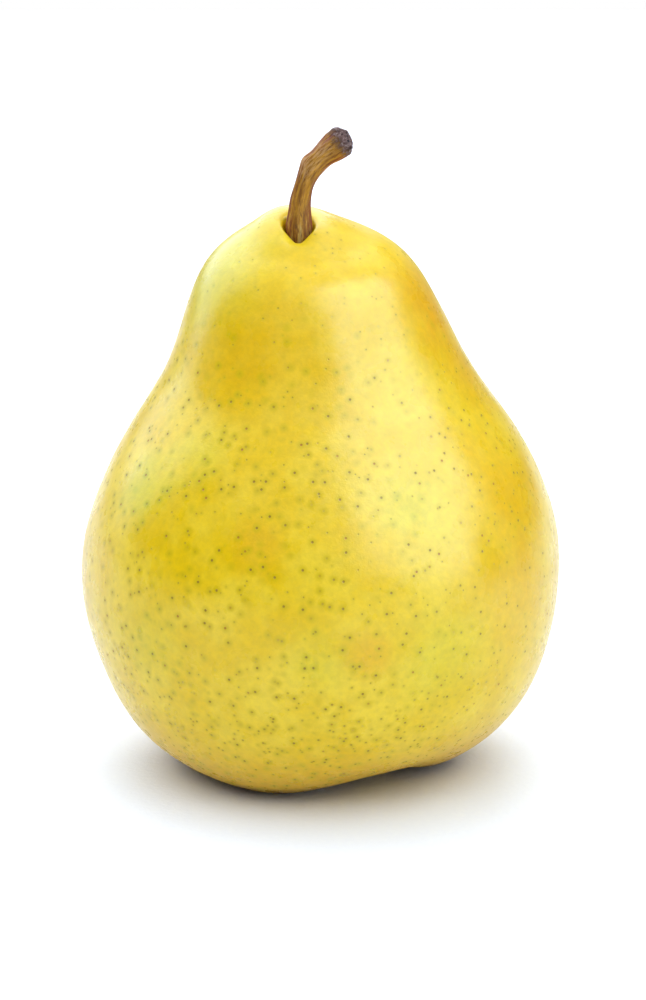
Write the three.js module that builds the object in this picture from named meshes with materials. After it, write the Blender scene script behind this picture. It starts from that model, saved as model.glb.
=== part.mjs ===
// A ripe yellow pear that stands on its own base: the fruit, its woody stem, and the dried calyx
// underneath. Millimetres, +Z up, front of the pear towards -Y, origin at the bottom centre of the box.

import * as THREE from 'three';

const DEGREE = Math.PI / 180;

// Stations of the skin, from the floor of the calyx basin, round the base, up the belly and neck, over
// the shoulder and down to the floor of the stem pit. A smooth curve passes close to them.
// [radius, height, axis shift to the right, axis shift to the back, rise of the back per mm of radius]
const SKIN_STATIONS = [
  [0, 6.8, 0, 0, 0],
  [3.8, 6.6, 0, 0, 0],
  [6.6, 5.0, 0, 0, 0],
  [10.0, 2.4, 0, 0, 0],
  [16.4, 2.2, 0, 0, 0],
  [23.4, 4.5, -0.6, 0, 0],
  [30.1, 8.7, -0.1, 0, 0],
  [34.5, 16.5, 0.5, 0, 0],
  [37.4, 26.6, 0.1, 0, 0],
  [37.4, 36.9, 0.4, 0, 0],
  [34.4, 46.6, 0.6, 0, 0],
  [29.8, 55.0, 0.5, 0.3, 0],
  [23.8, 63.0, 0, 0.6, 0],
  [20.2, 72.6, -0.9, 0.6, 0.02],
  [17.2, 79.6, -1.4, 0.2, 0.06],
  [13.4, 83.4, -1.8, -0.6, 0.12],
  [9.5, 85.2, -2.6, -1.8, 0.20],
  [6.5, 86.7, -3.1, -3.0, 0.30],
  [4.3, 87.4, -3.2, -3.9, 0.36],
  [2.7, 87.8, -3.2, -4.35, 0.42],
  [2.42, 87.1, -3.2, -4.4, 0.36],
  [2.42, 85.4, -3.2, -4.4, 0.12],
  [2.42, 81.4, -3.2, -4.4, 0],
  [0, 81.0, -3.2, -4.4, 0],
];

// Four bumps round the base carry the pear. Each one drops below the rest of the base and swells out.
// The row with a negative drop is a hollow between two of them.
// [direction in degrees from +X towards +Y, width in degrees, drop in mm, swell as a share of radius]
const BASE_BUMPS = [
  [-112, 26, 2.5, 0.016],
  [-54, 16, -0.5, -0.005],
  [-9, 21, 2.85, 0.018],
  [79, 32, 2.75, 0.012],
  [171, 38, 2.85, 0.012],
];
const BUMP_STATION = 4.3;
const BUMP_DROP_SPREAD = 1.5;
const BUMP_SWELL_STATION = 5.5;
const BUMP_SWELL_SPREAD = 2.2;

// How the rim of the stem pit rises and falls round the stem: a short crease that runs down the front of
// the shoulder, and with negative drops, a low swelling on either side of it.
// [direction in degrees, width in degrees, drop in mm, middle station]
const RIM_FOLDS = [
  [-92, 24, 1.3, 19.3],
  [135, 45, -0.9, 17.6],
  [20, 40, -0.2, 17.6],
];
const RIM_SPREAD = 1.3;

// The belly is a little out of round.
// [waves round the pear, direction in degrees, share of radius, middle station, spread in stations]
const BELLY_WAVES = [
  [2, 20, 0.008, 9, 4.5],
  [3, -60, 0.004, 9, 5],
];

const FRUIT_RINGS = 69;
const FRUIT_SEGMENTS = 56;

// Stations of the stem, from the foot in the pit, up and over the kink to the hollow in its broken end.
// [right, back, height, radius]
const STEM_STATIONS = [
  [-3.2, -4.4, 82.8, 0],
  [-3.2, -4.4, 82.8, 1.5],
  [-3.2, -4.4, 83.3, 1.9],
  [-3.17, -4.4, 85.2, 1.9],
  [-3.17, -4.4, 87.5, 2.05],
  [-3.12, -4.4, 89.5, 1.75],
  [-3.0, -4.4, 91.6, 1.48],
  [-2.55, -4.4, 93.5, 1.4],
  [-1.9, -4.4, 95.4, 1.5],
  [-0.95, -4.4, 97.05, 1.8],
  [0.55, -4.4, 98.5, 1.8],
  [1.95, -4.4, 99.55, 2.15],
  [3.1, -4.4, 100.5, 2.3],
  [4.0, -4.4, 101.05, 1.95],
  [4.4, -4.4, 101.35, 1.3],
  [4.45, -4.4, 101.4, 0.6],
  [4.4, -4.4, 101.35, 0],
];

// Ridges that run along the stem: [ridges round the stem, phase at the foot, turn per station, share]
const STEM_RIDGES = [
  [5, 0.4, 0.12, 0.05],
  [8, 1.9, -0.2, 0.03],
];

// The scar of a bud, on the outside of the kink.
const SCAR_STATION = 8.9;
const SCAR_SPREAD = 0.5;
const SCAR_WIDTH = 25 * DEGREE;
const SCAR_HEIGHT = 0.35;

// The stem's lean at a station is read this far before and after it. From the last lean station on, the
// rows curl into the hollow of the end, and the lean stays as it is there.
const LEAN_STEP = 0.6;
const LAST_LEAN_STATION = 13;

const STEM_RINGS = 40;
const STEM_SEGMENTS = 20;

// Stations of the calyx: the middle of its underside, out to the sepal tips, and back above them.
// [radius, height, how far the notches between sepals cut in as a share of the radius, rise in the notches]
const CALYX_STATIONS = [
  [0, 5.3, 0, 0],
  [1.2, 5.2, 0, 0],
  [2.2, 4.7, 0.23, 0.25],
  [3.3, 4.0, 0.39, 0.7],
  [4.6, 3.3, 0.53, 1.25],
  [5.2, 3.4, 0.57, 1.2],
  [4.7, 4.0, 0.51, 0.8],
  [3.6, 4.8, 0.35, 0.3],
  [2.6, 5.6, 0.19, 0],
  [1.5, 6.15, 0.05, 0],
  [0, 6.3, 0, 0],
];
const SEPAL_COUNT = 5;
const CALYX_RINGS = 18;
const CALYX_SEGMENTS = 50;

const SKIN_COLOUR = 0xdcbb3a;
const STEM_COLOUR = 0x7a5a2c;
const CALYX_COLOUR = 0x3d2a1a;

// A row of a station table read at any place between its stations, along a uniform cubic B-spline.
// The radius column turns negative past both ends, so the surface closes smoothly on its axis.
function smoothRow(stations, place, radiusColumn) {
  const last = stations.length - 1;
  const mirrored = (row) => row.map((value, column) => (column === radiusColumn ? -value : value));
  const rowAt = (index) => {
    if (index < 0) return mirrored(stations[-index]);
    if (index > last) return mirrored(stations[2 * last - index]);
    return stations[index];
  };
  const start = Math.min(Math.floor(place), last - 1);
  const u = place - start;
  const weights = [
    (1 - u) ** 3 / 6,
    (3 * u ** 3 - 6 * u ** 2 + 4) / 6,
    (-3 * u ** 3 + 3 * u ** 2 + 3 * u + 1) / 6,
    u ** 3 / 6,
  ];
  return stations[0].map((_, column) =>
    weights.reduce((sum, weight, k) => sum + weight * rowAt(start - 1 + k)[column], 0));
}

function bell(distance, spread) {
  return Math.exp(-((distance / spread) ** 2));
}

// A bell round a circle: 1 in the given direction, falling off over the given width.
function roundBell(angle, direction, width) {
  return Math.exp((Math.cos(angle - direction) - 1) / width ** 2);
}

// A closed mesh round a line: rings of points between a single point at either end.
function closedLoft(pointAt, lastPlace, rings, segments) {
  const positions = [...pointAt(0, 0)];
  for (let ring = 1; ring < rings; ring += 1) {
    for (let segment = 0; segment < segments; segment += 1) {
      positions.push(...pointAt((lastPlace * ring) / rings, (2 * Math.PI * segment) / segments));
    }
  }
  positions.push(...pointAt(lastPlace, 0));

  const endPoint = positions.length / 3 - 1;
  const index = [];
  const vertex = (ring, segment) => 1 + (ring - 1) * segments + (segment % segments);
  for (let segment = 0; segment < segments; segment += 1) {
    index.push(0, vertex(1, segment + 1), vertex(1, segment));
    for (let ring = 1; ring < rings - 1; ring += 1) {
      const a = vertex(ring, segment);
      const b = vertex(ring, segment + 1);
      const c = vertex(ring + 1, segment);
      const d = vertex(ring + 1, segment + 1);
      index.push(a, b, d, a, d, c);
    }
    index.push(endPoint, vertex(rings - 1, segment), vertex(rings - 1, segment + 1));
  }

  const geometry = new THREE.BufferGeometry();
  geometry.setAttribute('position', new THREE.Float32BufferAttribute(positions, 3));
  geometry.setIndex(index);
  geometry.computeVertexNormals();
  return geometry;
}

function skinPoint(place, angle) {
  const [radius, height, right, back, rise] = smoothRow(SKIN_STATIONS, place, 0);
  let swell = 1;
  let drop = 0;
  for (const [direction, width, bumpDrop, bumpSwell] of BASE_BUMPS) {
    const share = roundBell(angle, direction * DEGREE, width * DEGREE);
    drop += bumpDrop * share * bell(place - BUMP_STATION, BUMP_DROP_SPREAD);
    swell += bumpSwell * share * bell(place - BUMP_SWELL_STATION, BUMP_SWELL_SPREAD);
  }
  for (const [direction, width, rimDrop, station] of RIM_FOLDS) {
    const share = roundBell(angle, direction * DEGREE, width * DEGREE);
    drop += rimDrop * share * bell(place - station, RIM_SPREAD);
  }
  for (const [waves, direction, share, station, spread] of BELLY_WAVES) {
    swell += share * bell(place - station, spread) * Math.cos(waves * (angle - direction * DEGREE));
  }
  const x = right + radius * swell * Math.cos(angle);
  const y = back + radius * swell * Math.sin(angle);
  const z = height - drop + rise * radius * Math.sin(angle);
  return [x, y, Math.max(z, 0)];
}

function stemPoint(place, angle) {
  const [right, back, height, radius] = smoothRow(STEM_STATIONS, place, 3);
  const start = Math.min(Math.max(place - LEAN_STEP, 0), LAST_LEAN_STATION - LEAN_STEP);
  const before = smoothRow(STEM_STATIONS, start, 3);
  const after = smoothRow(STEM_STATIONS, Math.min(place + LEAN_STEP, LAST_LEAN_STATION), 3);
  const lean = Math.atan2(after[0] - before[0], after[2] - before[2]);
  let swell = 1;
  for (const [ridges, phase, turn, share] of STEM_RIDGES) {
    swell += share * Math.cos(ridges * angle + phase + turn * place);
  }
  const scar = SCAR_HEIGHT * bell(place - SCAR_STATION, SCAR_SPREAD) * roundBell(angle, Math.PI, SCAR_WIDTH);
  const reach = radius * swell + scar;
  const across = reach * Math.cos(angle);
  return [right + across * Math.cos(lean), back + reach * Math.sin(angle), height - across * Math.sin(lean)];
}

function calyxPoint(place, angle) {
  const [radius, height, notch, rise] = smoothRow(CALYX_STATIONS, place, 0);
  const gap = Math.abs(Math.sin((SEPAL_COUNT * angle) / 2));
  const reach = radius * (1 - notch * gap);
  return [reach * Math.cos(angle), reach * Math.sin(angle), height + rise * gap];
}

function piece(name, geometry, color, roughness) {
  const mesh = new THREE.Mesh(geometry, new THREE.MeshStandardMaterial({ color, roughness }));
  mesh.name = name;
  return mesh;
}

function centreOverOrigin(group) {
  const box = new THREE.Box3().setFromObject(group);
  const middle = box.getCenter(new THREE.Vector3());
  for (const mesh of group.children) {
    mesh.geometry.translate(-middle.x, -middle.y, -box.min.z);
  }
}

const fruit = closedLoft(skinPoint, SKIN_STATIONS.length - 1, FRUIT_RINGS, FRUIT_SEGMENTS);
const stem = closedLoft(stemPoint, STEM_STATIONS.length - 1, STEM_RINGS, STEM_SEGMENTS);
const calyx = closedLoft(calyxPoint, CALYX_STATIONS.length - 1, CALYX_RINGS, CALYX_SEGMENTS);

const pear = new THREE.Group();
pear.name = 'pear';
pear.add(piece('fruit', fruit, SKIN_COLOUR, 0.4));
pear.add(piece('stem', stem, STEM_COLOUR, 0.8));
pear.add(piece('calyx', calyx, CALYX_COLOUR, 0.9));
centreOverOrigin(pear);

export default pear;
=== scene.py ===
"""A ripe yellow pear with its stem, on a plain pale floor under soft studio light."""

import math

import bpy
import numpy as np
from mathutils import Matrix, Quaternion, Vector, noise


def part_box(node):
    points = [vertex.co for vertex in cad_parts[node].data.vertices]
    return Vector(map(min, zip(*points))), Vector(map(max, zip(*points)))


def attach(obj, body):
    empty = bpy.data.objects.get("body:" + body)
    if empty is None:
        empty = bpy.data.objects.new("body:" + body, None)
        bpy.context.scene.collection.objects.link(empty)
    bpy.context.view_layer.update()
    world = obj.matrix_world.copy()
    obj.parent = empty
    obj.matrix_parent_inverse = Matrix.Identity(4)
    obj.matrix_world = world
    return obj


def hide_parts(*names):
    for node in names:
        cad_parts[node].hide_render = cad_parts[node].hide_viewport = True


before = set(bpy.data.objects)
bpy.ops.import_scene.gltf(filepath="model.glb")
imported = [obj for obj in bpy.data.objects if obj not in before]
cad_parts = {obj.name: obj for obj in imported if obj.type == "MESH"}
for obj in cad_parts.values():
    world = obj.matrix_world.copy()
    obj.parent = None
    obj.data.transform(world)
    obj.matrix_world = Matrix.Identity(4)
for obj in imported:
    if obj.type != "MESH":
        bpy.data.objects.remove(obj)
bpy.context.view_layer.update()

MM = 0.001

# The surfaces repeat the CAD model's stations, in mm, and are sampled far more finely.
# Most rows of SKIN_STATIONS, BASE_BUMPS and STEM_STATIONS are the rounded output of another program,
# changed afterwards. They are an open fault.
# [radius, height, axis shift to the right, axis shift to the back, rise of the back per mm of radius]
SKIN_STATIONS = np.array([
    [0, 6.8, 0, 0, 0],
    [3.8, 6.6, 0, 0, 0],
    [6.6, 5.0, 0, 0, 0],
    [10.0, 2.4, 0, 0, 0],
    [16.4, 2.2, 0, 0, 0],
    [23.4, 4.5, -0.6, 0, 0],
    [30.1, 8.7, -0.1, 0, 0],
    [34.5, 16.5, 0.5, 0, 0],
    [37.4, 26.6, 0.1, 0, 0],
    [37.4, 36.9, 0.4, 0, 0],
    [34.4, 46.6, 0.6, 0, 0],
    [29.8, 55.0, 0.5, 0.3, 0],
    [23.8, 63.0, 0, 0.6, 0],
    [20.2, 72.6, -0.9, 0.6, 0.02],
    [17.2, 79.6, -1.4, 0.2, 0.06],
    [13.4, 83.4, -1.8, -0.6, 0.12],
    [9.5, 85.2, -2.6, -1.8, 0.20],
    [6.5, 86.7, -3.1, -3.0, 0.30],
    [4.3, 87.4, -3.2, -3.9, 0.36],
    [2.7, 87.8, -3.2, -4.35, 0.42],
    [2.42, 87.1, -3.2, -4.4, 0.36],
    [2.42, 85.4, -3.2, -4.4, 0.12],
    [2.42, 81.4, -3.2, -4.4, 0],
    [0, 81.0, -3.2, -4.4, 0],
])
# [direction in degrees, width in degrees, drop in mm, swell as a share of the radius]
BASE_BUMPS = [
    (-112, 26, 2.5, 0.016),
    (-54, 16, -0.5, -0.005),
    (-9, 21, 2.85, 0.018),
    (79, 32, 2.75, 0.012),
    (171, 38, 2.85, 0.012),
]
BUMP_STATION = 4.3
BUMP_DROP_SPREAD = 1.5
BUMP_SWELL_STATION = 5.5
BUMP_SWELL_SPREAD = 2.2
# The rim of the stem pit: a crease down the front of the shoulder, and a low swelling on either side.
# [direction in degrees, width in degrees, drop in mm, middle station]
RIM_FOLDS = [
    (-92, 24, 1.3, 19.3),
    (135, 45, -0.9, 17.6),
    (20, 40, -0.2, 17.6),
]
RIM_SPREAD = 1.3
# [waves round the pear, direction in degrees, share of radius, middle station, spread in stations]
BELLY_WAVES = [
    (2, 20, 0.008, 9, 4.5),
    (3, -60, 0.004, 9, 5),
]
FRUIT_RINGS = 300
FRUIT_SEGMENTS = 256
# Low lumps of the skin: [size in mm, height in mm]
SKIN_LUMPS = [(14, 0.16), (6, 0.05)]

# Where the skin is more orange or greener: [direction in degrees, height in mm, radius in mm, share]
# On the front half, the directions and heights also follow another program's output.
ORANGE_PATCHES = [
    (-131, 71, 14, 0.3),
    (-98, 71, 17, 0.22),
    (-20, 77, 12, 0.8),
    (-15, 66, 12, 0.5),
    (-30, 49, 15, 0.45),
    (-38, 35, 14, 0.35),
    (-106, 45, 7, 0.35),
    (-79, 29, 6, 0.45),
    (150, 45, 25, 0.4),
    (30, 25, 22, 0.4),
]
GREEN_PATCHES = [
    (-160, 81, 16, 0.9),
    (-147, 50, 9, 0.9),
    (-131, 56, 8, 0.5),
    (-135, 27, 10, 0.4),
    (-64, 50, 9, 0.6),
    (-60, 27, 13, 0.5),
    (-90, 28, 8, 0.4),
    (100, 60, 24, 0.5),
]
# Lenticels in layers, sizes in mm: the belly's large ones, sparse small ones, and the base's dense ones.
LENTICELS = [
    {"cell": 2.05, "depth": 0.7, "turn": (0.3, 0.5, 0.2), "core": 0.27, "core share": 0.7,
     "halo": 1.05, "halo share": 0.95, "fades from": 82, "fades to": 56},
    {"cell": 1.8, "depth": 0.45, "turn": (0.9, 0.1, 0.7), "core": 0.19, "core share": 0.45,
     "halo": 0.6, "halo share": 0.5, "fades from": 100, "fades to": 78},
    {"cell": 1.6, "depth": 0.6, "turn": (0.2, 0.8, 1.1), "core": 0.26, "core share": 0.5,
     "halo": 0.7, "halo share": 0.6, "fades from": 36, "fades to": 10},
]
# A halo or core is at full strength up to this share of its radius, and fades out from there.
HALO_FULL = 0.15
CORE_FULL = 0.4
# From the middle of the pear to its right, over this many mm, halos fade to this share of themselves.
HALO_FADE_WIDTH = 25
HALO_FADE_SHARE = 0.4
# Spots whose random number lies above this range have rusty cores.
RUST_RANGE = (0.72, 0.82)
# Colours here and below are 0-255 display values.
HALO_COLOUR = (202, 176, 0)
GREEN_HALO_COLOUR = (176, 178, 0)
CORE_COLOUR = (98, 46, 0)
RUST_COLOUR = (146, 44, 0)

PALE_SKIN_COLOUR = (230, 202, 46)
GOLDEN_SKIN_COLOUR = (224, 190, 4)
ORANGE_COLOUR = (222, 164, 14)
GREEN_COLOUR = (198, 200, 36)
GREEN_SHARE = 0.6
# A dark corky brown for the underside: partly russet, partly painted shade where the pear meets the floor.
CORKY_AND_SHADE_COLOUR = (138, 92, 22)
# The base turns a darker orange and its underside a dark corky brown, each partly the skin's own tone and
# partly painted shade: [height where it begins, height where it is full], in mm
BASE_TONE_AND_SHADE_HEIGHTS = (17, 2)
BASE_TONE_AND_SHADE_SHARE = 0.6
CORKY_AND_SHADE_HEIGHTS = (3.2, 1.0)
CORKY_AND_SHADE_SHARE = 0.8
MOTTLE_RANGE = (0.92, 1.06)
SKIN_ROUGHNESS = (0.26, 0.33)
CORE_ROUGHNESS = 0.4
# The edges of the patches wander by up to half of this, in mm.
PATCH_WANDER = 8

# [right, back, height, radius]
STEM_STATIONS = np.array([
    [-3.2, -4.4, 82.8, 0],
    [-3.2, -4.4, 82.8, 1.5],
    [-3.2, -4.4, 83.3, 1.9],
    [-3.17, -4.4, 85.2, 1.9],
    [-3.17, -4.4, 87.5, 2.05],
    [-3.12, -4.4, 89.5, 1.75],
    [-3.0, -4.4, 91.6, 1.48],
    [-2.55, -4.4, 93.5, 1.4],
    [-1.9, -4.4, 95.4, 1.5],
    [-0.95, -4.4, 97.05, 1.8],
    [0.55, -4.4, 98.5, 1.8],
    [1.95, -4.4, 99.55, 2.15],
    [3.1, -4.4, 100.5, 2.3],
    [4.0, -4.4, 101.05, 1.95],
    [4.4, -4.4, 101.35, 1.3],
    [4.45, -4.4, 101.4, 0.6],
    [4.4, -4.4, 101.35, 0],
])
# [ridges round the stem, phase at the foot, turn per station, share of the radius]
STEM_RIDGES = [(5, 0.4, 0.12, 0.05), (8, 1.9, -0.2, 0.03)]
SCAR_STATION = 8.9
SCAR_SPREAD = 0.5
SCAR_WIDTH = math.radians(25)
SCAR_HEIGHT = 0.35
# The stem's lean at a station is read this far before and after it. From the last lean station on, the
# rows curl into the hollow of the end, and the lean stays as it is there.
LEAN_STEP = 0.6
LAST_LEAN_STATION = 13
# Furrows along the grain and lumps of the broken end: [size in mm, height in mm]. The grain is squeezed
# along the stem before the furrows are read, which makes them long.
GRAIN_SQUEEZE = 0.15
STEM_FURROWS = [(0.5, 0.16), (1.3, 0.2)]
BROKEN_LUMPS = [(1.3, 0.35), (0.5, 0.15)]
# How far along the stem the broken end begins, and how far it takes to turn rough, in mm
BROKEN_FROM = 19.0
BROKEN_FADE = 2.5
# The broken end turns grey round this place along the stem, over the fade on both sides. Chips count as
# up to the shift farther along, which makes the edge of the grey ragged. In mm.
END_GREYS = 21.4
END_GREYS_FADE = 0.8
END_CHIPS_SHIFT = 3.0
# How far the streaks of the bark are squeezed along the stem before they are read, which makes them long
STREAK_SQUEEZE = 0.12
DARK_BARK_COLOUR = (120, 74, 6)
LIGHT_BARK_COLOUR = (196, 142, 34)
# A darker red-brown painted as shade down the stem's left and right sides.
SIDE_SHADE_BARK_COLOUR = (136, 62, 22)
FINE_FURROW_COLOUR = (72, 38, 10)
FLAKE_COLOUR = (206, 166, 112)
FOOT_STREAK_COLOUR = (178, 168, 110)
FOOT_FURROW_COLOUR = (74, 40, 14)
# Near black: painted shade in the crevices of the broken end.
CREVICE_SHADE_COLOUR = (30, 14, 14)
FIBRE_COLOUR = (124, 94, 86)
CHIP_COLOUR = (200, 182, 172)
STEM_RINGS = 200
STEM_SEGMENTS = 96

# [radius, height, how far the notches between sepals cut in, rise in the notches]
# The cut is a share of the radius.
CALYX_STATIONS = np.array([
    [0, 5.3, 0, 0],
    [1.2, 5.2, 0, 0],
    [2.2, 4.7, 0.23, 0.25],
    [3.3, 4.0, 0.39, 0.7],
    [4.6, 3.3, 0.53, 1.25],
    [5.2, 3.4, 0.57, 1.2],
    [4.7, 4.0, 0.51, 0.8],
    [3.6, 4.8, 0.35, 0.3],
    [2.6, 5.6, 0.19, 0],
    [1.5, 6.15, 0.05, 0],
    [0, 6.3, 0, 0],
])
SEPAL_COUNT = 5
CALYX_LUMPS = [(0.8, 0.15)]
CALYX_RINGS = 70
CALYX_SEGMENTS = 150

CAMERA_ELEVATION = math.radians(16)
CAMERA_DISTANCE = 0.7
CAMERA_TARGET = Vector((0.00038, 0, 0.0425))
CAMERA_FIELD_HEIGHT = 0.157
FLOOR_HALF_SIZE = 0.7
WORLD_LIGHT = 0.04
GLOW_COLOUR = (0.97, 0.985, 1.07)
SHINE_COLOUR = (0.6, 0.8, 1.0)
# An area light's watts for a radiance of 1 from each square metre.
WATTS_PER_RADIANCE = 4
# A mirrored ray that meets a panel's glow stops there, so its shine hangs this far in front, in metres.
SHINE_GAP = 0.005
# [name, azimuth, elevation, distance, (width, height), glow, shine, turn], in degrees and metres.
SOFTBOXES = [
    ("right_softbox", 58, 38, 0.6, (0.72, 0.78), 0.34, 5.9, -22),
    ("left_softbox", -146, 38, 0.6, (1.1, 0.66), 0.6, 2.9, -12),
    ("top_softbox", 180, 64, 0.6, (0.5, 0.5), 1.15, 0.6, 0),
    ("ceiling", 0, 90, 1.5, (4.0, 4.0), 1.18, 0.25, 0),
    ("back_panel", 180, 12, 0.6, (0.9, 0.25), 0.35, 0.3, 0),
    ("front_fill", 15, 30, 0.6, (1.2, 0.7), 0.26, 0.0, 0),
]


# ---------------------------------------------------------------- surfaces


def smooth_rows(stations, places, radius_column):
    """The station table read at the given places, along a uniform cubic B-spline."""
    mirror = np.ones(stations.shape[1])
    mirror[radius_column] = -1
    rows = np.vstack([stations[1] * mirror, stations, stations[-2] * mirror])
    start = np.clip(np.floor(places).astype(int), 0, len(stations) - 2)
    u = (places - start)[:, None]
    weights = [
        (1 - u) ** 3 / 6,
        (3 * u**3 - 6 * u**2 + 4) / 6,
        (-3 * u**3 + 3 * u**2 + 3 * u + 1) / 6,
        u**3 / 6,
    ]
    return sum(weight * rows[start + k] for k, weight in enumerate(weights))


def bell(distance, spread):
    return np.exp(-((distance / spread) ** 2))


def round_bell(angle, direction, width):
    """A bell round a circle: 1 in the given direction, falling off over the given width."""
    return np.exp((np.cos(angle - direction) - 1) / width**2)


def loft_grid(stations, rings, segments):
    """The places along a station table and the angles round it, shaped to make a grid."""
    places = np.linspace(0, len(stations) - 1, rings + 1)
    angles = np.linspace(0, 2 * math.pi, segments, endpoint=False)
    return places, angles[None, :]


def skin_grid():
    places, angle = loft_grid(SKIN_STATIONS, FRUIT_RINGS, FRUIT_SEGMENTS)
    radius, height, right, back, rise = smooth_rows(SKIN_STATIONS, places, 0).T[:, :, None]
    place = places[:, None]
    swell = np.ones((len(places), FRUIT_SEGMENTS))
    drop = np.zeros_like(swell)
    for direction, width, bump_drop, bump_swell in BASE_BUMPS:
        share = round_bell(angle, math.radians(direction), math.radians(width))
        drop += bump_drop * share * bell(place - BUMP_STATION, BUMP_DROP_SPREAD)
        swell += bump_swell * share * bell(place - BUMP_SWELL_STATION, BUMP_SWELL_SPREAD)
    for direction, width, rim_drop, station in RIM_FOLDS:
        share = round_bell(angle, math.radians(direction), math.radians(width))
        drop += rim_drop * share * bell(place - station, RIM_SPREAD)
    for waves, direction, share, station, spread in BELLY_WAVES:
        swell += share * bell(place - station, spread) * np.cos(waves * (angle - math.radians(direction)))
    x = right + radius * swell * np.cos(angle)
    y = back + radius * swell * np.sin(angle)
    z = height - drop + rise * radius * np.sin(angle)
    return np.stack([x, y, z], axis=-1)


def stem_grid():
    """The stem's points, and for each one its place in the grain: round the stem and along it."""
    places, angle = loft_grid(STEM_STATIONS, STEM_RINGS, STEM_SEGMENTS)
    right, back, height, radius = smooth_rows(STEM_STATIONS, places, 3).T[:, :, None]
    before = smooth_rows(STEM_STATIONS, np.clip(places - LEAN_STEP, 0, LAST_LEAN_STATION - LEAN_STEP), 3)
    after = smooth_rows(STEM_STATIONS, np.clip(places + LEAN_STEP, 0, LAST_LEAN_STATION), 3)
    lean = np.arctan2(after[:, 0] - before[:, 0], after[:, 2] - before[:, 2])[:, None]
    place = places[:, None]
    swell = np.ones((len(places), STEM_SEGMENTS))
    for ridges, phase, turn, share in STEM_RIDGES:
        swell += share * np.cos(ridges * angle + phase + turn * place)
    scar = SCAR_HEIGHT * bell(place - SCAR_STATION, SCAR_SPREAD) * round_bell(angle, math.pi, SCAR_WIDTH)
    reach = radius * swell + scar
    across = reach * np.cos(angle)
    points = np.stack([
        right + across * np.cos(lean),
        back + reach * np.sin(angle),
        height - across * np.sin(lean),
    ], axis=-1)
    middle = np.concatenate([right, back, height], axis=1)
    along = np.concatenate([[0], np.cumsum(np.linalg.norm(np.diff(middle, axis=0), axis=1))])
    grain = np.stack([
        radius * np.cos(angle),
        radius * np.sin(angle),
        np.broadcast_to(along[:, None], reach.shape),
    ], axis=-1)
    return points, grain


def calyx_grid():
    places, angle = loft_grid(CALYX_STATIONS, CALYX_RINGS, CALYX_SEGMENTS)
    radius, height, notch, rise = smooth_rows(CALYX_STATIONS, places, 0).T[:, :, None]
    gap = np.abs(np.sin(SEPAL_COUNT * angle / 2))
    reach = radius * (1 - notch * gap)
    return np.stack([reach * np.cos(angle), reach * np.sin(angle), height + rise * gap], axis=-1)


def closed_loft(name, grid):
    """A closed mesh through rows of points in mm. The first and last row are each a single point."""
    rings, segments = grid.shape[0] - 1, grid.shape[1]
    points = np.vstack([grid[0, :1], grid[1:-1].reshape(-1, 3), grid[-1, :1]])
    profile = np.linalg.norm(np.diff(grid, axis=0), axis=2).mean(axis=1)
    heights = np.concatenate([[0], np.cumsum(profile)]) / profile.sum()
    top = len(points) - 1

    def vertex(ring, segment):
        return 1 + (ring - 1) * segments + segment % segments

    faces = []
    uvs = []
    for segment in range(segments):
        left, right = segment / segments, (segment + 1) / segments
        middle = (left + right) / 2
        faces.append((0, vertex(1, segment + 1), vertex(1, segment)))
        uvs += [(middle, 0), (right, heights[1]), (left, heights[1])]
        for ring in range(1, rings - 1):
            low, high = heights[ring], heights[ring + 1]
            faces.append((
                vertex(ring, segment),
                vertex(ring, segment + 1),
                vertex(ring + 1, segment + 1),
                vertex(ring + 1, segment),
            ))
            uvs += [(left, low), (right, low), (right, high), (left, high)]
        faces.append((top, vertex(rings - 1, segment), vertex(rings - 1, segment + 1)))
        uvs += [(middle, 1), (left, heights[-2]), (right, heights[-2])]

    mesh = bpy.data.meshes.new(name)
    mesh.from_pydata((points * MM).tolist(), [], faces)
    layer = mesh.uv_layers.new(name="OFBake")
    layer.uv.foreach_set("vector", np.array(uvs, dtype=np.float32).ravel())
    mesh.polygons.foreach_set("use_smooth", np.ones(len(mesh.polygons), dtype=bool))
    piece = bpy.data.objects.new(name, mesh)
    bpy.context.scene.collection.objects.link(piece)
    return piece


def vertex_positions(piece):
    positions = np.empty(len(piece.data.vertices) * 3, dtype=np.float32)
    piece.data.vertices.foreach_get("co", positions)
    return positions.reshape(-1, 3)


def vertex_normals(piece):
    normals = np.empty(len(piece.data.vertices) * 3, dtype=np.float32)
    piece.data.vertex_normals.foreach_get("vector", normals)
    return normals.reshape(-1, 3)


def set_positions(piece, positions):
    piece.data.vertices.foreach_set("co", positions.astype(np.float32).ravel())
    piece.data.update()


def raise_lumps(piece, coordinates, lumps, share=1.0):
    """Pushes the surface in and out along its normals by smooth noise: [size in mm, height in mm]."""
    positions = vertex_positions(piece)
    height = np.zeros(len(positions))
    for size, amount in lumps:
        height += [amount * noise.noise(Vector(point) / size) for point in coordinates.tolist()]
    set_positions(piece, positions + vertex_normals(piece) * (height * share)[:, None] * MM)


def stand_on_floor(piece):
    positions = vertex_positions(piece)
    positions[:, 2] = np.maximum(positions[:, 2], 0)
    set_positions(piece, positions)


# ---------------------------------------------------------------- materials


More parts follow.
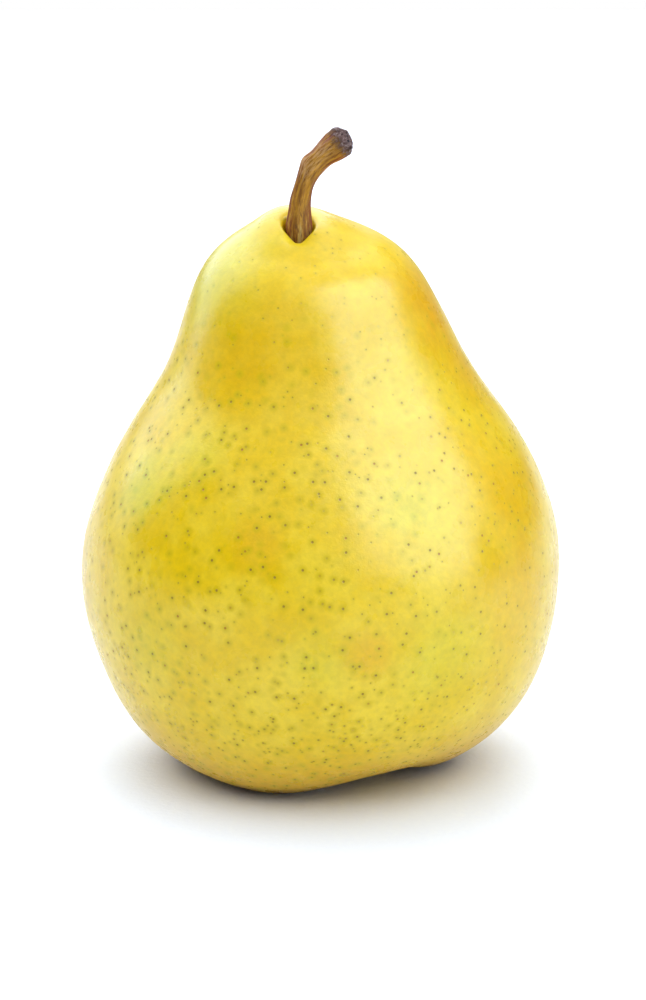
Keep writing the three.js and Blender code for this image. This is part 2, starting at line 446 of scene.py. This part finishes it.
class Look:
    """One procedural material, with short names for the nodes it is made of."""

    def __init__(self, name):
        self.material = bpy.data.materials.new(name)
        self.material.use_nodes = True
        self.tree = self.material.node_tree
        self.shader = self.tree.nodes["Principled BSDF"]

    def node(self, kind, inputs=None, **settings):
        node = self.tree.nodes.new(kind)
        for key, value in settings.items():
            setattr(node, key, value)
        for key, value in (inputs or {}).items():
            self.feed(node.inputs[key], value)
        return node

    def feed(self, socket, value):
        if isinstance(value, bpy.types.NodeSocket):
            self.tree.links.new(value, socket)
        else:
            socket.default_value = value

    def place(self):
        return self.node("ShaderNodeTexCoord").outputs["Object"]

    def grain(self):
        return self.node("ShaderNodeAttribute", attribute_name="grain").outputs["Vector"]

    def math(self, operation, a, b=0.0):
        return self.node("ShaderNodeMath", {0: a, 1: b}, operation=operation).outputs[0]

    def vector(self, operation, a, b=(0.0, 0.0, 0.0), output=0):
        return self.node("ShaderNodeVectorMath", {0: a, 1: b}, operation=operation).outputs[output]

    def turn(self, vector, angles):
        return self.node("ShaderNodeMapping", {"Vector": vector, "Rotation": angles}).outputs[0]

    def fade(self, value, start, end, low=0.0, high=1.0):
        """low where the value is at start or before it, high at end, and smooth between."""
        inputs = {"Value": value, "From Min": start, "From Max": end, "To Min": low, "To Max": high}
        return self.node("ShaderNodeMapRange", inputs, interpolation_type="SMOOTHSTEP").outputs[0]

    def noise(self, vector, size, detail=3.0, roughness=0.5):
        """Noise from 0 to 1, with lumps of the given size in the vector's own unit."""
        inputs = {"Vector": vector, "Scale": 1 / size, "Detail": detail, "Roughness": roughness}
        return self.node("ShaderNodeTexNoise", inputs).outputs[0]

    def mix(self, share, a, b, blend="MIX"):
        node = self.node("ShaderNodeMix", data_type="RGBA", blend_type=blend)
        self.feed(node.inputs[0], share)
        self.feed(node.inputs[6], a)
        self.feed(node.inputs[7], b)
        return node.outputs[2]

    def bump(self, height, distance, normal=None):
        inputs = {"Height": height, "Distance": distance, "Strength": 1.0}
        if normal is not None:
            inputs["Normal"] = normal
        return self.node("ShaderNodeBump", inputs).outputs[0]


def colour(red, green, blue):
    """A colour given in 0-255 display values, as the linear values that shaders take."""
    shares = (red / 255, green / 255, blue / 255)
    linear = [((c + 0.055) / 1.055) ** 2.4 if c > 10 / 255 else c / 12.92 for c in shares]
    return (*linear, 1.0)


def speckle(look, layer, nearest):
    """The round spot nearest to each place of the surface ("F1"), or the second nearest ("F2").

    Points are scattered through space, one in each cell of the layer's size. Those nearer the surface
    than the layer's depth make a spot, measured along the surface so that it stays round.
    Returns the distance from the spot's middle in mm, how strong the spot is, and a random number.
    """
    turned = look.turn(look.place(), layer["turn"])
    normal = look.turn(look.node("ShaderNodeNewGeometry").outputs["Normal"], layer["turn"])
    cells = {"Vector": turned, "Scale": 1 / (layer["cell"] * MM)}
    points = look.node("ShaderNodeTexVoronoi", cells, feature=nearest)
    offset = look.vector("SUBTRACT", turned, points.outputs["Position"])
    under = look.vector("DOT_PRODUCT", offset, normal, output=1)
    squared = look.vector("DOT_PRODUCT", offset, offset, output=1)
    flat = look.math("SUBTRACT", squared, look.math("MULTIPLY", under, under))
    distance = look.math("MULTIPLY", look.math("SQRT", look.math("MAXIMUM", flat, 0.0)), 1 / MM)
    random = look.node("ShaderNodeSeparateColor", {"Color": points.outputs["Color"]}).outputs
    strength = look.fade(look.math("ABSOLUTE", under), layer["depth"] * MM, 0.0)
    strength = look.math("MULTIPLY", strength, look.fade(random[1], 0.0, 1.0, 0.25, 1.0))
    return distance, strength, random[0]


def lenticels(look, skin, right, height, greenness, layer):
    """Adds one layer of lenticels to the skin's colour: dark corky cores in soft olive halos."""
    zone = look.fade(height, layer["fades from"] * MM, layer["fades to"] * MM)
    halo = core = rust = 0.0
    for nearest in ("F2", "F1"):
        distance, strength, tint = speckle(look, layer, nearest)
        strength = look.math("MULTIPLY", strength, zone)
        halo_shape = look.fade(distance, layer["halo"], layer["halo"] * HALO_FULL)
        spot_halo = look.math("MULTIPLY", halo_shape, look.fade(strength, 0.0, 0.3))
        halo = look.math("MAXIMUM", spot_halo, halo)
        core_shape = look.fade(distance, layer["core"], layer["core"] * CORE_FULL)
        spot_core = look.math("MULTIPLY", core_shape, look.fade(strength, 0.1, 0.6))
        core = look.math("MAXIMUM", spot_core, core)
        rust = look.fade(tint, *RUST_RANGE)
    olive = look.mix(greenness, colour(*HALO_COLOUR), colour(*GREEN_HALO_COLOUR))
    share = layer["halo share"]
    halo_share = look.fade(right, 0.0, HALO_FADE_WIDTH * MM, share, share * HALO_FADE_SHARE)
    halo = look.math("MULTIPLY", halo, halo_share)
    skin = look.mix(halo, skin, olive)
    dark = look.mix(rust, colour(*CORE_COLOUR), colour(*RUST_COLOUR))
    return look.mix(look.math("MULTIPLY", core, layer["core share"]), skin, dark), core


def skin_patches(look, patches):
    """How much of the patches shows: [direction in degrees, height in mm, radius in mm, share]."""
    ragged = look.math("MULTIPLY", look.noise(look.place(), 5 * MM, 4, 0.6), PATCH_WANDER * MM)
    total = 0.0
    for direction, height, radius, share in patches:
        away = look.vector("DISTANCE", look.place(), skin_place(direction, height), output=1)
        away = look.math("ADD", away, look.math("SUBTRACT", ragged, PATCH_WANDER / 2 * MM))
        total = look.math("ADD", look.fade(away, radius * MM, 0.0, 0, share), total)
    return look.math("MINIMUM", total, 1.0)


def skin_place(direction, height):
    """The point of the skin, in metres, in a direction in degrees and at a height in mm."""
    radius = np.interp(height, SKIN_STATIONS[4:18, 1], SKIN_STATIONS[4:18, 0])
    around = math.radians(direction)
    return (radius * math.cos(around) * MM, radius * math.sin(around) * MM, height * MM)


def skin_material():
    look = Look("pear_skin")
    place = look.place()
    right, _, height = look.node("ShaderNodeSeparateXYZ", {"Vector": place}).outputs

    # Broad drifts of golden yellow, orange where it faced the sun and green where it didn't.
    drift = look.noise(place, 9 * MM, 4, 0.6)
    golden = look.fade(drift, 0.35, 0.65)
    skin = look.mix(golden, colour(*PALE_SKIN_COLOUR), colour(*GOLDEN_SKIN_COLOUR))
    blush = skin_patches(look, ORANGE_PATCHES)
    # Towards the bottom the skin turns a darker orange: partly its own tone, partly painted shade.
    begins, full = BASE_TONE_AND_SHADE_HEIGHTS
    base_tone_and_shade = look.fade(height, begins * MM, full * MM, 0, BASE_TONE_AND_SHADE_SHARE)
    skin = look.mix(look.math("MAXIMUM", blush, base_tone_and_shade), skin, colour(*ORANGE_COLOUR))
    # The underside turns a dark corky brown: partly russet round the calyx, partly painted shade where the
    # pear meets the floor.
    begins, full = CORKY_AND_SHADE_HEIGHTS
    skin = look.mix(look.fade(height, begins * MM, full * MM, 0, CORKY_AND_SHADE_SHARE), skin, colour(*CORKY_AND_SHADE_COLOUR))
    greenness = skin_patches(look, GREEN_PATCHES)
    skin = look.mix(look.math("MULTIPLY", greenness, GREEN_SHARE), skin, colour(*GREEN_COLOUR))
    mottle = look.fade(look.noise(place, 1.2 * MM, 4, 0.7), 0.3, 0.7, *MOTTLE_RANGE)
    grey = look.node("ShaderNodeCombineColor", {0: mottle, 1: mottle, 2: mottle}).outputs[0]
    skin = look.mix(1.0, skin, grey, "MULTIPLY")

    cores = 0.0
    for layer in LENTICELS:
        skin, core = lenticels(look, skin, right, height, greenness, layer)
        cores = look.math("MAXIMUM", core, cores)

    look.feed(look.shader.inputs["Base Color"], skin)
    rough = look.fade(look.noise(place, 4 * MM, 3), 0.3, 0.7, *SKIN_ROUGHNESS)
    rough = look.math("ADD", rough, look.math("MULTIPLY", cores, CORE_ROUGHNESS))
    look.feed(look.shader.inputs["Roughness"], rough)
    look.shader.inputs["IOR"].default_value = 1.41
    look.shader.inputs["Subsurface Weight"].default_value = 0.12
    look.shader.inputs["Subsurface Radius"].default_value = (1.0, 0.7, 0.15)
    look.shader.inputs["Subsurface Scale"].default_value = 0.003
    fine = look.noise(place, 0.5 * MM, 3, 0.6)
    relief = look.bump(look.math("SUBTRACT", fine, cores), 0.03 * MM)
    look.feed(look.shader.inputs["Normal"], relief)
    return look.material


def stem_material():
    look = Look("stem_bark")
    grain = look.grain()
    across, _, along = look.node("ShaderNodeSeparateXYZ", {"Vector": grain}).outputs
    squeeze = {"Vector": grain, "Scale": (1.0, 1.0, STREAK_SQUEEZE)}
    stretched = look.node("ShaderNodeMapping", squeeze).outputs[0]
    streaks = look.noise(stretched, 0.55, 5, 0.65)
    fine = look.noise(stretched, 0.2, 4, 0.6)

    # Golden brown in the middle, and a darker red-brown down the left and right sides that is painted
    # shade.
    light = look.fade(streaks, 0.3, 0.7)
    bark = look.mix(light, colour(*DARK_BARK_COLOUR), colour(*LIGHT_BARK_COLOUR))
    shaded_sides = look.fade(look.math("ABSOLUTE", across), 0.7, 1.8)
    shaded_sides = look.math("MULTIPLY", shaded_sides, look.fade(streaks, 0.7, 0.35))
    bark = look.mix(look.math("MULTIPLY", shaded_sides, 0.9), bark, colour(*SIDE_SHADE_BARK_COLOUR))
    bark = look.mix(look.fade(fine, 0.43, 0.32, 0, 0.7), bark, colour(*FINE_FURROW_COLOUR))

    # Pale flakes from the kink up, and grey-green streaks between dark furrows at the foot.
    kink = look.math("MULTIPLY", look.fade(along, 11.0, 13.5), look.fade(along, 22.0, 16.0))
    outside = look.fade(across, 1.4, -0.9)
    flakes = look.math("MULTIPLY", look.math("MULTIPLY", kink, outside), look.fade(fine, 0.4, 0.6))
    bark = look.mix(look.math("MULTIPLY", flakes, 0.6), bark, colour(*FLAKE_COLOUR))
    foot = look.fade(along, 7.5, 3.5)
    foot_streaks = look.math("MULTIPLY", foot, look.fade(streaks, 0.5, 0.66, 0, 0.7))
    bark = look.mix(foot_streaks, bark, colour(*FOOT_STREAK_COLOUR))
    foot_furrows = look.math("MULTIPLY", foot, look.fade(fine, 0.5, 0.36, 0, 0.7))
    bark = look.mix(foot_furrows, bark, colour(*FOOT_FURROW_COLOUR))

    # The broken end: torn grey-brown fibres with pale chips, and near-black painted shade in the crevices
    # between them.
    chips = look.noise(look.place(), 0.55 * MM, 5, 0.75)
    ragged_place = look.math("ADD", along, look.math("MULTIPLY", chips, END_CHIPS_SHIFT))
    end = look.fade(ragged_place, END_GREYS - END_GREYS_FADE, END_GREYS + END_GREYS_FADE)
    torn = look.mix(look.fade(chips, 0.36, 0.52), colour(*CREVICE_SHADE_COLOUR), colour(*FIBRE_COLOUR))
    torn = look.mix(look.fade(chips, 0.56, 0.66), torn, colour(*CHIP_COLOUR))
    bark = look.mix(end, bark, torn)

    look.feed(look.shader.inputs["Base Color"], bark)
    look.feed(look.shader.inputs["Roughness"], look.fade(streaks, 0.3, 0.7, 0.5, 0.7))
    look.shader.inputs["Specular IOR Level"].default_value = 0.2
    relief = look.bump(look.math("ADD", streaks, look.math("MULTIPLY", fine, 0.5)), 0.3 * MM)
    relief = look.bump(look.math("MULTIPLY", chips, end), 0.7 * MM, relief)
    look.feed(look.shader.inputs["Normal"], relief)
    return look.material


def calyx_material():
    look = Look("calyx_dry")
    place = look.place()
    fibres = look.noise(place, 0.5 * MM, 5, 0.7)
    dry = look.mix(look.fade(fibres, 0.3, 0.7), colour(52, 36, 24), colour(116, 88, 54))
    look.feed(look.shader.inputs["Base Color"], dry)
    look.feed(look.shader.inputs["Roughness"], look.fade(fibres, 0.3, 0.7, 0.7, 0.9))
    look.feed(look.shader.inputs["Normal"], look.bump(fibres, 0.2 * MM))
    return look.material


def floor_material():
    look = Look("pale_floor")
    place = look.place()
    paper = look.noise(place, 1.0 * MM, 4, 0.6)
    pale = look.mix(paper, (0.85, 0.90, 0.99, 1), (0.90, 0.95, 1.0, 1))
    look.feed(look.shader.inputs["Base Color"], pale)
    look.shader.inputs["Roughness"].default_value = 0.7
    look.shader.inputs["Specular IOR Level"].default_value = 0.2
    look.feed(look.shader.inputs["Normal"], look.bump(paper, 0.12 * MM))
    return look.material


# ---------------------------------------------------------------- pieces


def finish_piece(piece, node, offset, material):
    """Puts a piece where its CAD node is, hides the node, and gives the piece its material."""
    set_positions(piece, vertex_positions(piece) + offset)
    piece.data.materials.append(material)
    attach(piece, "root")
    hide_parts(node)


def make_pear():
    skin = closed_loft("pear_fruit", skin_grid())
    low, high = (np.array(corner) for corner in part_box("fruit"))
    positions = vertex_positions(skin)
    middle = (positions.min(axis=0) + positions.max(axis=0)) / 2
    offset = (low + high) / 2 - middle
    offset[2] = 0
    raise_lumps(skin, positions / MM, SKIN_LUMPS)
    stand_on_floor(skin)
    finish_piece(skin, "fruit", offset, skin_material())

    points, grain = stem_grid()
    stem = closed_loft("pear_stem", points)
    flat_grain = np.vstack([grain[0, :1], grain[1:-1].reshape(-1, 3), grain[-1, :1]])
    attribute = stem.data.attributes.new("grain", "FLOAT_VECTOR", "POINT")
    attribute.data.foreach_set("vector", flat_grain.astype(np.float32).ravel())
    raise_lumps(stem, flat_grain * (1, 1, GRAIN_SQUEEZE), STEM_FURROWS)
    broken = np.clip((flat_grain[:, 2] - BROKEN_FROM) / BROKEN_FADE, 0, 1)
    raise_lumps(stem, vertex_positions(stem) / MM, BROKEN_LUMPS, broken)
    finish_piece(stem, "stem", offset, stem_material())

    calyx = closed_loft("pear_calyx", calyx_grid())
    raise_lumps(calyx, vertex_positions(calyx) / MM, CALYX_LUMPS)
    finish_piece(calyx, "calyx", offset, calyx_material())


# ---------------------------------------------------------------- studio


def make_floor():
    mesh = bpy.data.meshes.new("floor")
    s = FLOOR_HALF_SIZE
    mesh.from_pydata([(-s, -s, 0), (s, -s, 0), (s, s, 0), (-s, s, 0)], [], [(0, 1, 2, 3)])
    mesh.materials.append(floor_material())
    floor = bpy.data.objects.new("floor", mesh)
    bpy.context.scene.collection.objects.link(floor)


def softbox(name, azimuth, elevation, distance, size, glow, shine, turn):
    """A rectangular panel that faces the pear. Azimuth 0 is the camera's side and 90 is the right.

    The glow lights the surfaces and the shine is what they mirror. Both are radiances, and 1 is white.
    """
    around, above = math.radians(azimuth), math.radians(elevation)
    direction = Vector((
        math.sin(around) * math.cos(above),
        -math.cos(around) * math.cos(above),
        math.sin(above),
    ))
    facing = direction.to_track_quat("Z", "Y") @ Quaternion((0, 0, 1), math.radians(turn))
    parts = (("glow", glow, GLOW_COLOUR, 0), ("shine", shine, SHINE_COLOUR, SHINE_GAP))
    for part, radiance, light_colour, nearer in parts:
        light = bpy.data.lights.new(f"{name}_{part}", "AREA")
        light.shape = "RECTANGLE"
        light.color = light_colour
        light.size, light.size_y = size
        light.energy = radiance * WATTS_PER_RADIANCE * light.size * light.size_y
        lamp = bpy.data.objects.new(light.name, light)
        lamp.location = CAMERA_TARGET + direction * (distance - nearer)
        lamp.rotation_euler = facing.to_euler()
        lamp.visible_camera = False
        lamp.visible_diffuse = part == "glow"
        lamp.visible_glossy = part == "shine"
        bpy.context.scene.collection.objects.link(lamp)


def make_world():
    """Plain white behind everything for the camera, and nearly dark as a light on the pear."""
    world = bpy.data.worlds.new("studio")
    world.use_nodes = True
    nodes, links = world.node_tree.nodes, world.node_tree.links
    seen = nodes.new("ShaderNodeLightPath").outputs["Is Camera Ray"]
    strength = nodes.new("ShaderNodeMapRange")
    strength.inputs["To Min"].default_value = WORLD_LIGHT
    links.new(seen, strength.inputs["Value"])
    links.new(strength.outputs[0], nodes["Background"].inputs["Strength"])
    nodes["Background"].inputs["Color"].default_value = (1, 1, 1, 1)
    bpy.context.scene.world = world


def make_lights():
    for row in SOFTBOXES:
        softbox(*row)
    make_world()


def make_camera():
    camera = bpy.data.objects.new("camera", bpy.data.cameras.new("camera"))
    camera.data.sensor_fit = "VERTICAL"
    camera.data.sensor_height = 36
    camera.data.lens = camera.data.sensor_height * CAMERA_DISTANCE / CAMERA_FIELD_HEIGHT
    camera.data.clip_start = 0.05
    direction = Vector((0, -math.cos(CAMERA_ELEVATION), math.sin(CAMERA_ELEVATION)))
    camera.location = CAMERA_TARGET + direction * CAMERA_DISTANCE
    camera.rotation_euler = direction.to_track_quat("Z", "Y").to_euler()
    bpy.context.scene.collection.objects.link(camera)
    bpy.context.scene.camera = camera
    bpy.context.scene.view_settings.view_transform = "Standard"


make_camera()
make_pear()
make_floor()
make_lights()
